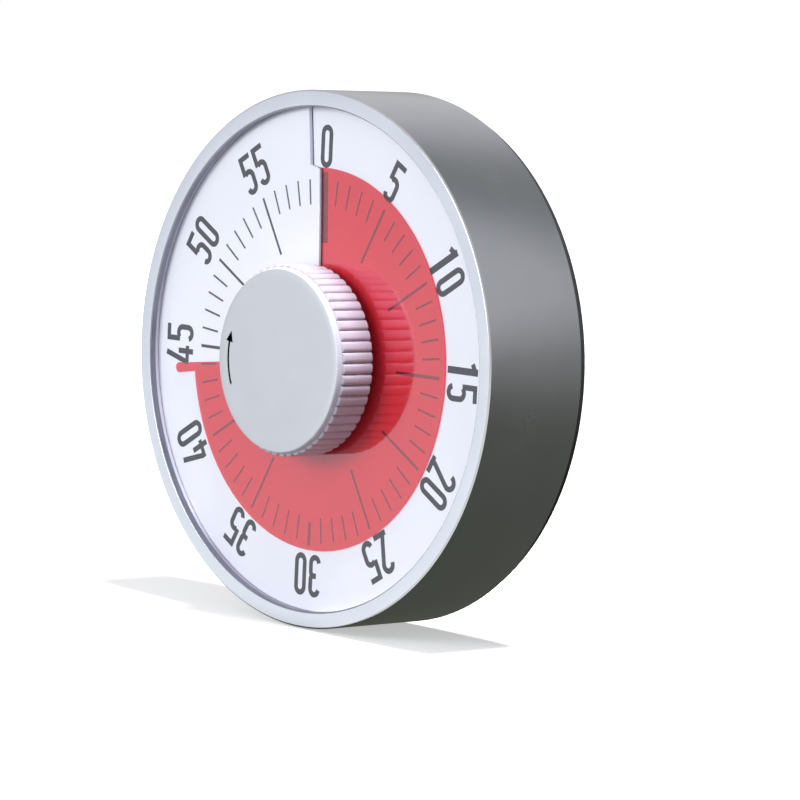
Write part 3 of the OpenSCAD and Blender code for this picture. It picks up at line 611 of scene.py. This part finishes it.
def bar(cw, r_in, r_out, width, shift):
    """A radial bar, moved sideways by shift."""
    (x, y), (dx, dy) = polar(1, cw), polar(1, cw + 90)
    sides = (shift - width / 2, shift + width / 2)
    return [(x * r + dx * s, y * r + dy * s - PRINT_DROP) for r, s in (
        (r_in, sides[0]), (r_in, sides[1]), (r_out, sides[1]), (r_out, sides[0]))]


def mark_for(minute):
    """The bar of a minute: its angle, inner and outer radius, width and sideways shift."""
    if minute == 0:
        return ZERO_MARK_AND_STEP_SHADOW
    if minute == 30:
        return HALF_MARK
    cw = minute * MINUTE_DEG
    if minute % 5:
        return cw, MINUTE_IN_R, MARK_OUT_R, MINUTE_W, 0
    return cw, FIVE_IN_R, MARK_OUT_R, FIVE_W if minute % 15 else QUARTER_W, 0


def build_marks():
    """The minute scale. The bar of 0 runs along the slit, and is wide enough to also paint the step's
    shadow beside it.
    """
    shapes = [[bar(*mark_for(minute))] for minute in range(60)]
    ink("minute_marks", shapes, "ink", "root",
        lambda x, y, k: dial_top(x, y, k * MINUTE_DEG))


def arc(cx, cy, rx, ry, start, end, steps=10):
    """Points on an ellipse, by angle in degrees anticlockwise from the right."""
    turns = [math.radians(start + (end - start) * k / steps) for k in range(steps + 1)]
    return [(cx + rx * math.cos(turn), cy + ry * math.sin(turn)) for turn in turns]


def stroke(path, width, closed=False):
    """The band of that width along a path, as one four-cornered shape for each stretch, mitred."""
    count = len(path)
    points = [Vector(p) for p in path]
    offsets = []
    for k in range(count):
        before = points[k] - points[k - 1] if closed or k else points[1] - points[0]
        after = points[(k + 1) % count] - points[k] if closed or k < count - 1 else before
        before, after = before.normalized(), after.normalized()
        middle = (before + after).normalized()
        side = Vector((-middle.y, middle.x))
        offsets.append(side * width / 2 / max(MITRE_LIMIT, middle.dot(after)))
    shapes = []
    for k in range(count if closed else count - 1):
        n = (k + 1) % count
        shapes.append([points[k] + offsets[k], points[k] - offsets[k],
                       points[n] - offsets[n], points[n] + offsets[n]])
    return shapes


def digit_width(name):
    """The width of a digit's own room."""
    return WIDE_DIGITS.get(name, NUMERAL_W)


def digit(name):
    """The strokes of a digit in a box centred on 0, 0. The small offsets fit the dial's own type."""
    line = NUMERAL_STROKE
    half = digit_width(name) / 2
    full = NUMERAL_H / 2
    w = half - line / 2
    h = full - line / 2
    if name == "0":
        return stroke(arc(0, h - w, w, w, 0, 180) + arc(0, -h + w, w, w, 180, 360), line, closed=True)
    if name == "1":
        stem_w = 1.0
        stem_x = 0.06
        flag = stroke([(stem_x + 0.1, h - 0.05), (-half + 0.2, h - 0.72)], line)
        return stroke([(stem_x, -full), (stem_x, full)], stem_w) + flag
    if name == "2":
        hook = arc(0, h - w, w, w * 1.02, 178, -28)
        foot = stroke([(-half, -h), (half, -h)], line)
        return stroke([*hook, (-w + 0.12, -full + 0.1)], line) + foot
    if name == "3":
        bend = 0.62
        upper = arc(0, h - w, w, w, 172, 0) + arc(w - bend, bend, bend, bend, 0, -90, 5)
        lower = arc(w - bend, -bend, bend, bend, 90, 0, 5) + arc(0, -h + w, w, w, 0, -172)
        return stroke([*upper, (-0.3, 0)], line) + stroke(lower, line)
    if name == "4":
        slope = stroke([(0.2, full), (-w - 0.05, -full + 1.55)], line)
        foot = stroke([(-half, -full + 1.35), (half, -full + 1.35)], line * 0.95)
        return slope + foot + stroke([(w - 0.42, 0.3), (w - 0.42, -full)], line)
    if name == "5":
        top = stroke([(half - 0.05, h), (-w, h), (-w, 0.1)], line)
        return top + stroke(arc(0, -0.42, w, w, 140, 0, 8) + arc(0, -h + w, w, w, 0, -170), line)
    raise ValueError(name)


def numeral(minute):
    """The shapes of a number centred at its place on the dial, upright on the radius."""
    text, cw = str(minute), minute * MINUTE_DEG
    out, along = NUMERAL_OFF.get(minute, (0, 0))
    total = sum(digit_width(c) for c in text) + NUMERAL_GAP * (len(text) - 1)
    (ox, oy), (ux, uy) = polar(NUMERAL_R + out, cw), polar(1, cw)
    shapes = []
    left = along - total / 2
    for c in text:
        centre = left + digit_width(c) / 2
        left += digit_width(c) + NUMERAL_GAP
        for shape in digit(c):
            shapes.append([(ox + (x + centre) * uy + y * ux,
                            oy - (x + centre) * ux + y * uy - PRINT_DROP) for x, y in shape])
    return shapes


def build_numerals():
    """The printed numbers 0 to 55."""
    shapes = [numeral(minute) for minute in range(0, 60, NUMERAL_EVERY)]
    ink("numerals", shapes, "ink", "root",
        lambda x, y, k: dial_top(x, y, k * NUMERAL_EVERY * MINUTE_DEG))


# ---- Film ----


def build_film():
    """The red film with its round-ended pointer, on the same spiral as the dial."""
    half = POINTER_W / 2
    pointer_deg = math.degrees(POINTER_W / (POINTER_R - half))
    start = REST_CW - FILM_SPAN_DEG
    end = REST_CW - pointer_deg - POINTER_GAP_DEG
    stations = []
    for k in range(TURN_STEPS + 1):
        cw = start + (end - start) * k / TURN_STEPS
        stations.append([(r, cw) for r in (*FILM_INNER_RADII, FILM_R)])
    for k in range(POINTER_STEPS + 1):
        turn = math.pi * k / POINTER_STEPS
        cw = REST_CW - pointer_deg / 2 * (1 + math.cos(turn))
        tip_r = POINTER_R - half + half * math.sin(turn)
        stations.append([(r, cw) for r in (*FILM_INNER_RADII, tip_r)])
    points, faces = spiral_solid(stations, FILM_LIFT, FILM_T)
    piece("film_sheet", points, faces, ["film"], "film", ["red_film"], crease=40)


# ---- Knob ----

RIBS, FACE, BAND = range(3)


def rib_height(turn):
    """A rib's height, from 0 in the groove to 1 on its crown, for turn = 0..1 across it."""
    from_crown = abs(2 * turn - 1)
    return (1 - from_crown ** RIB_SQUARENESS) ** (1 / RIB_FULLNESS)


def knob_rows():
    """All rows from the cavity out to the face, and the numbers of the first band and face rows."""
    rows = list(REAR_ROWS)
    for k in range(RIB_END_STEPS + 1):
        t = k / RIB_END_STEPS
        rows.append((math.sqrt(max(0, 1 - t ** 2)), RIB_ROOT_R, BAND_Z - RIB_ROUND + RIB_ROUND * t))
    first_band = len(rows) - 1
    rows += [(0, r, z) for r, z in BAND_PROFILE]
    first_face = len(rows)
    rows += [(0, r, z) for r, z in FACE_PROFILE]
    return rows, first_band, first_face


def build_knob():
    """The knob's shell: ribs with rounded front ends, a bright band and a matte face."""
    rows, first_band, first_face = knob_rows()
    count = RIB_COUNT * RIB_STEPS
    points, faces, keys = [], [], []
    for share, r, z in rows:
        for k in range(count):
            rise = RIB_DEPTH * share * rib_height((k % RIB_STEPS) / RIB_STEPS)
            points.append((*polar(r + rise, 360 * k / count), z))
    for row in range(len(rows) - 1):
        key = FACE if row >= first_face else BAND if row >= first_band else RIBS
        for k in range(count):
            a, b = row * count + k, row * count + (k + 1) % count
            faces.append((a, b, b + count, a + count))
            keys.append(key)
    last = (len(rows) - 1) * count
    face_middle, cavity_middle = len(points), len(points) + 1
    points += [(0, 0, KNOB_FACE_Z), (0, 0, CAVITY_Z)]
    for k in range(count):
        n = (k + 1) % count
        faces += [(last + k, last + n, face_middle), (k, n, cavity_middle)]
        keys += [FACE, RIBS]
    piece("knob_grip", points, faces, ["knob_ribs_painted_reflection", "knob_face", "knob_band"], "knob",
          ["knob_shell"], crease=50, face_keys=keys)


def build_arrow():
    """The arrow printed on the knob's face, which says which way to wind."""
    span = ARROW_NECK_CW + ARROW_OVERLAP_DEG - ARROW_START_CW
    path = [polar(ARROW_R, ARROW_START_CW + span * k / ARROW_STEPS) for k in range(ARROW_STEPS + 1)]
    head = [polar(ARROW_R - ARROW_HEAD_HALF, ARROW_NECK_CW),
            polar(ARROW_R + ARROW_HEAD_HALF, ARROW_NECK_CW),
            polar(ARROW_R, ARROW_TIP_CW)]
    ink("wind_arrow", [stroke(path, ARROW_W) + [head]], "arrow_ink", "knob",
        lambda x, y, k: KNOB_FACE_Z - INK_T / 2)


# ---- Stage, in metres ----

GROUND_Z = CAD_BOX[0][2]
FLOOR_Z = GROUND_Z - 0.0002
FLOOR_HALF = 6.0
FLOOR_TONES = (0.78, 0.78, 0.79), (0.80, 0.80, 0.81)
FLOOR_BOUNCE = (0.12, 0.13, 0.11)
FLOOR_GLOW = 0.45, 0.95
FLOOR_GLOW_FROM = 0.15, 0.8


def calc(tree, operation, first, second):
    """Two values joined by a Math node."""
    return add(tree, "ShaderNodeMath", {0: first, 1: second}, operation=operation).outputs[0]


def plain_mesh(name, points, faces, material):
    """A mesh object of the stage."""
    mesh = bpy.data.meshes.new(name)
    mesh.from_pydata(points, [], faces)
    mesh.materials.append(material)
    thing = bpy.data.objects.new(name, mesh)
    bpy.context.scene.collection.objects.link(thing)
    return thing


def floor_material():
    """Near white to the camera and in mirrors, brighter further out, and dim as a source of light."""
    material, tree, surface = blank("floor_pale")
    rays = add(tree, "ShaderNodeLightPath").outputs
    place = add(tree, "ShaderNodeTexCoord").outputs["Object"]
    pale = blended(tree, noise(tree, 60, 2.0), *FLOOR_TONES)
    tone = blended(tree, rays["Is Camera Ray"], FLOOR_BOUNCE, pale)
    matte = add(tree, "ShaderNodeBsdfDiffuse", {"Color": tone})
    far = add(tree, "ShaderNodeVectorMath", {0: place}, operation="LENGTH").outputs["Value"]
    level = ranged(tree, far, *FLOOR_GLOW, *FLOOR_GLOW_FROM)
    shown = calc(tree, "MULTIPLY", rays["Is Camera Ray"], level)
    mirrored = calc(tree, "ADD", rays["Is Glossy Ray"], shown)
    through = calc(tree, "ADD", rays["Is Transmission Ray"], mirrored)
    glow = add(tree, "ShaderNodeEmission", {"Color": (1, 1, 1, 1), "Strength": through})
    both = add(tree, "ShaderNodeAddShader", {0: matte.outputs[0], 1: glow.outputs[0]})
    tree.links.new(both.outputs[0], surface)
    return material


def build_floor():
    """The floor that the object stands on, which keeps its shadow."""
    material = floor_material()
    corners = [(-FLOOR_HALF, -FLOOR_HALF, FLOOR_Z), (FLOOR_HALF, -FLOOR_HALF, FLOOR_Z),
               (FLOOR_HALF, FLOOR_HALF, FLOOR_Z), (-FLOOR_HALF, FLOOR_HALF, FLOOR_Z)]
    floor = plain_mesh("floor", corners, [(0, 1, 2, 3)], material)


def seen_rays(tree):
    """1 for rays that look at the background, straight, mirrored or through glass, and 0 for the rest."""
    rays = add(tree, "ShaderNodeLightPath").outputs
    seen = calc(tree, "MAXIMUM", rays["Is Camera Ray"], rays["Is Glossy Ray"])
    return calc(tree, "MAXIMUM", seen, rays["Is Transmission Ray"])


SKY_TOWARD = (-0.10, -0.98, 0.20)
SKY_FROM, SKY_TO = -0.05, 0.85
SKY_TONES = (0.12, 0.12, 0.13), (0.86, 0.86, 0.90)


def build_world():
    """White where it is seen, and for lighting a soft studio that is brightest in front of the dial."""
    world = bpy.data.worlds.new("studio")
    bpy.context.scene.world = world
    world.use_nodes = True
    tree = world.node_tree
    tree.nodes.clear()
    out = add(tree, "ShaderNodeOutputWorld")
    way = add(tree, "ShaderNodeTexCoord").outputs["Generated"]
    toward = add(tree, "ShaderNodeVectorMath", {0: way, 1: SKY_TOWARD}, operation="DOT_PRODUCT")
    level = ranged(tree, toward.outputs["Value"], 0.0, 1.0, SKY_FROM, SKY_TO)
    colour = blended(tree, level, *SKY_TONES)
    shown = blended(tree, seen_rays(tree), colour, (1, 1, 1))
    sky = add(tree, "ShaderNodeBackground", {"Color": shown, "Strength": 1.0})
    tree.links.new(sky.outputs[0], out.inputs["Surface"])


# The card's tones from left to right, and at its foot from front to back
CARD_LEFT, CARD_RIGHT = -0.45, 0.47
CARD_TONES = [(0, (0.68, 0.665, 0.635)), (0.14, (0.68, 0.665, 0.635)), (0.29, (0.565, 0.555, 0.53)),
              (0.47, (0.286, 0.286, 0.265)), (0.64, (0.26, 0.26, 0.242)), (0.82, (0.56, 0.551, 0.52)),
              (1, (0.57, 0.56, 0.53))]
FOOT_TONES = (0.075, 0.081, 0.058), (0.256, 0.248, 0.221)
FOOT_FRONT, FOOT_BACK = -0.04, 0.36
FOOT_LOW, FOOT_HIGH = 0.02, 0.22
CARD_DRIFT = 0.94, 1.06
CARD_HALF = 1.5
CARD_PROFILE = [(-0.0195, GROUND_Z - 0.0001), (0.20, GROUND_Z - 0.0001), (0.30, GROUND_Z + 0.01),
                (0.38, GROUND_Z + 0.05), (0.42, GROUND_Z + 0.12), (0.42, 0.25), (0.38, 0.42),
                (0.20, 0.55)]


def ramp(tree, factor, tones):
    """A colour along a row of (place, colour) stops."""
    node = add(tree, "ShaderNodeValToRGB", {"Fac": factor})
    stops = node.color_ramp.elements
    for place, _ in tones[1:-1]:
        stops.new(place)
    for stop, (place, colour) in zip(stops, tones):
        stop.position = place
        stop.color = (*colour, 1)
    return node.outputs["Color"]


def card_material():
    """The card's glow: a sweep of tones above, and another at its foot."""
    material, tree, surface = blank("card_grey")
    place = add(tree, "ShaderNodeTexCoord").outputs["Object"]
    parts = add(tree, "ShaderNodeSeparateXYZ", {0: place}).outputs
    sweep = ramp(tree, ranged(tree, parts["X"], 0, 1, CARD_LEFT, CARD_RIGHT), CARD_TONES)
    foot = blended(tree, ranged(tree, parts["Y"], 0, 1, FOOT_FRONT, FOOT_BACK), *FOOT_TONES)
    tone = blended(tree, ranged(tree, parts["Z"], 0, 1, FOOT_LOW, FOOT_HIGH), foot, sweep)
    drift = ranged(tree, noise(tree, 90, 2.0), *CARD_DRIFT)
    glow = add(tree, "ShaderNodeEmission", {"Color": tone, "Strength": drift})
    tree.links.new(glow.outputs[0], surface)
    return material


def build_reflector():
    """A curved grey card behind the case, for mirrors only, which gives the metal its sweep of tones."""
    material = card_material()
    points = [(x, y, z) for x in (-CARD_HALF, CARD_HALF) for y, z in CARD_PROFILE]
    rows = len(CARD_PROFILE)
    faces = [(n, n + 1, n + 1 + rows, n + rows) for n in range(rows - 1)]
    card = plain_mesh("reflector", points, faces, material)
    for ray in ("camera", "diffuse", "transmission", "shadow", "volume_scatter"):
        setattr(card, "visible_" + ray, False)


LAMP_TARGET = (0, -0.01, 0)

# Each lamp's name, place, size and power
KEY_LAMP = "key_lamp", (-0.21, -0.86, 0.22), 0.36, 4.15
TOP_LAMP = "top_lamp", (0.26, -0.02, 0.815), 0.18, 16.0


def aimed(name, place, size, power):
    """A square area lamp that faces the object. Returns its object."""
    data = bpy.data.lights.new(name, "AREA")
    data.shape = "SQUARE"
    data.size = size
    data.energy = power
    lamp = bpy.data.objects.new(name, data)
    facing = (Vector(LAMP_TARGET) - Vector(place)).to_track_quat("-Z", "Y")
    lamp.matrix_world = Matrix.Translation(place) @ facing.to_matrix().to_4x4()
    bpy.context.scene.collection.objects.link(lamp)
    return lamp


def build_lamps():
    """A key lamp in front, and a top lamp that metal doesn't mirror, as its highlight was too bright."""
    aimed(*KEY_LAMP)
    top = aimed(*TOP_LAMP)
    top.visible_glossy = False


# The camera: degrees, case radii, pixels and millimetres
AZIMUTH, ELEVATION, ROLL = 48.19, 5.35, 2.52
DISTANCE, SLIDE_X, SLIDE_Y = 15.153, -0.3455, 0.1492
FOCAL_PX, PICTURE_PX, SENSOR_MM = 4086.1, 800, 36


def build_camera():
    """The view: azimuth and elevation from the front, a small roll, and a long lens."""
    azimuth, elevation, roll = (math.radians(v) for v in (AZIMUTH, ELEVATION, ROLL))
    back = Vector((math.sin(azimuth) * math.cos(elevation), -math.cos(azimuth) * math.cos(elevation),
                   math.sin(elevation)))
    right = Vector((0, 0, 1)).cross(back).normalized()
    up = back.cross(right)
    turned_right = right * math.cos(roll) + up * math.sin(roll)
    turned_up = up * math.cos(roll) - right * math.sin(roll)
    away = back * DISTANCE - turned_right * SLIDE_X - turned_up * SLIDE_Y
    place = at(0, 0, FRONT_Z) + CASE_R * MM * away
    data = bpy.data.cameras.new("camera")
    data.sensor_width = SENSOR_MM
    data.lens = FOCAL_PX / PICTURE_PX * SENSOR_MM
    camera = bpy.data.objects.new("camera", data)
    axes = Matrix((turned_right, turned_up, back)).transposed().to_4x4()
    camera.matrix_world = Matrix.Translation(place) @ axes
    bpy.context.scene.collection.objects.link(camera)
    bpy.context.scene.camera = camera


# ---- Build ----

bpy.context.scene.view_settings.view_transform = "Standard"
build_camera()
build_floor()
build_world()
build_reflector()
build_lamps()
dress_nodes()
build_case()
build_ring()
build_dial()
build_marks()
build_numerals()
build_film()
build_knob()
build_arrow()
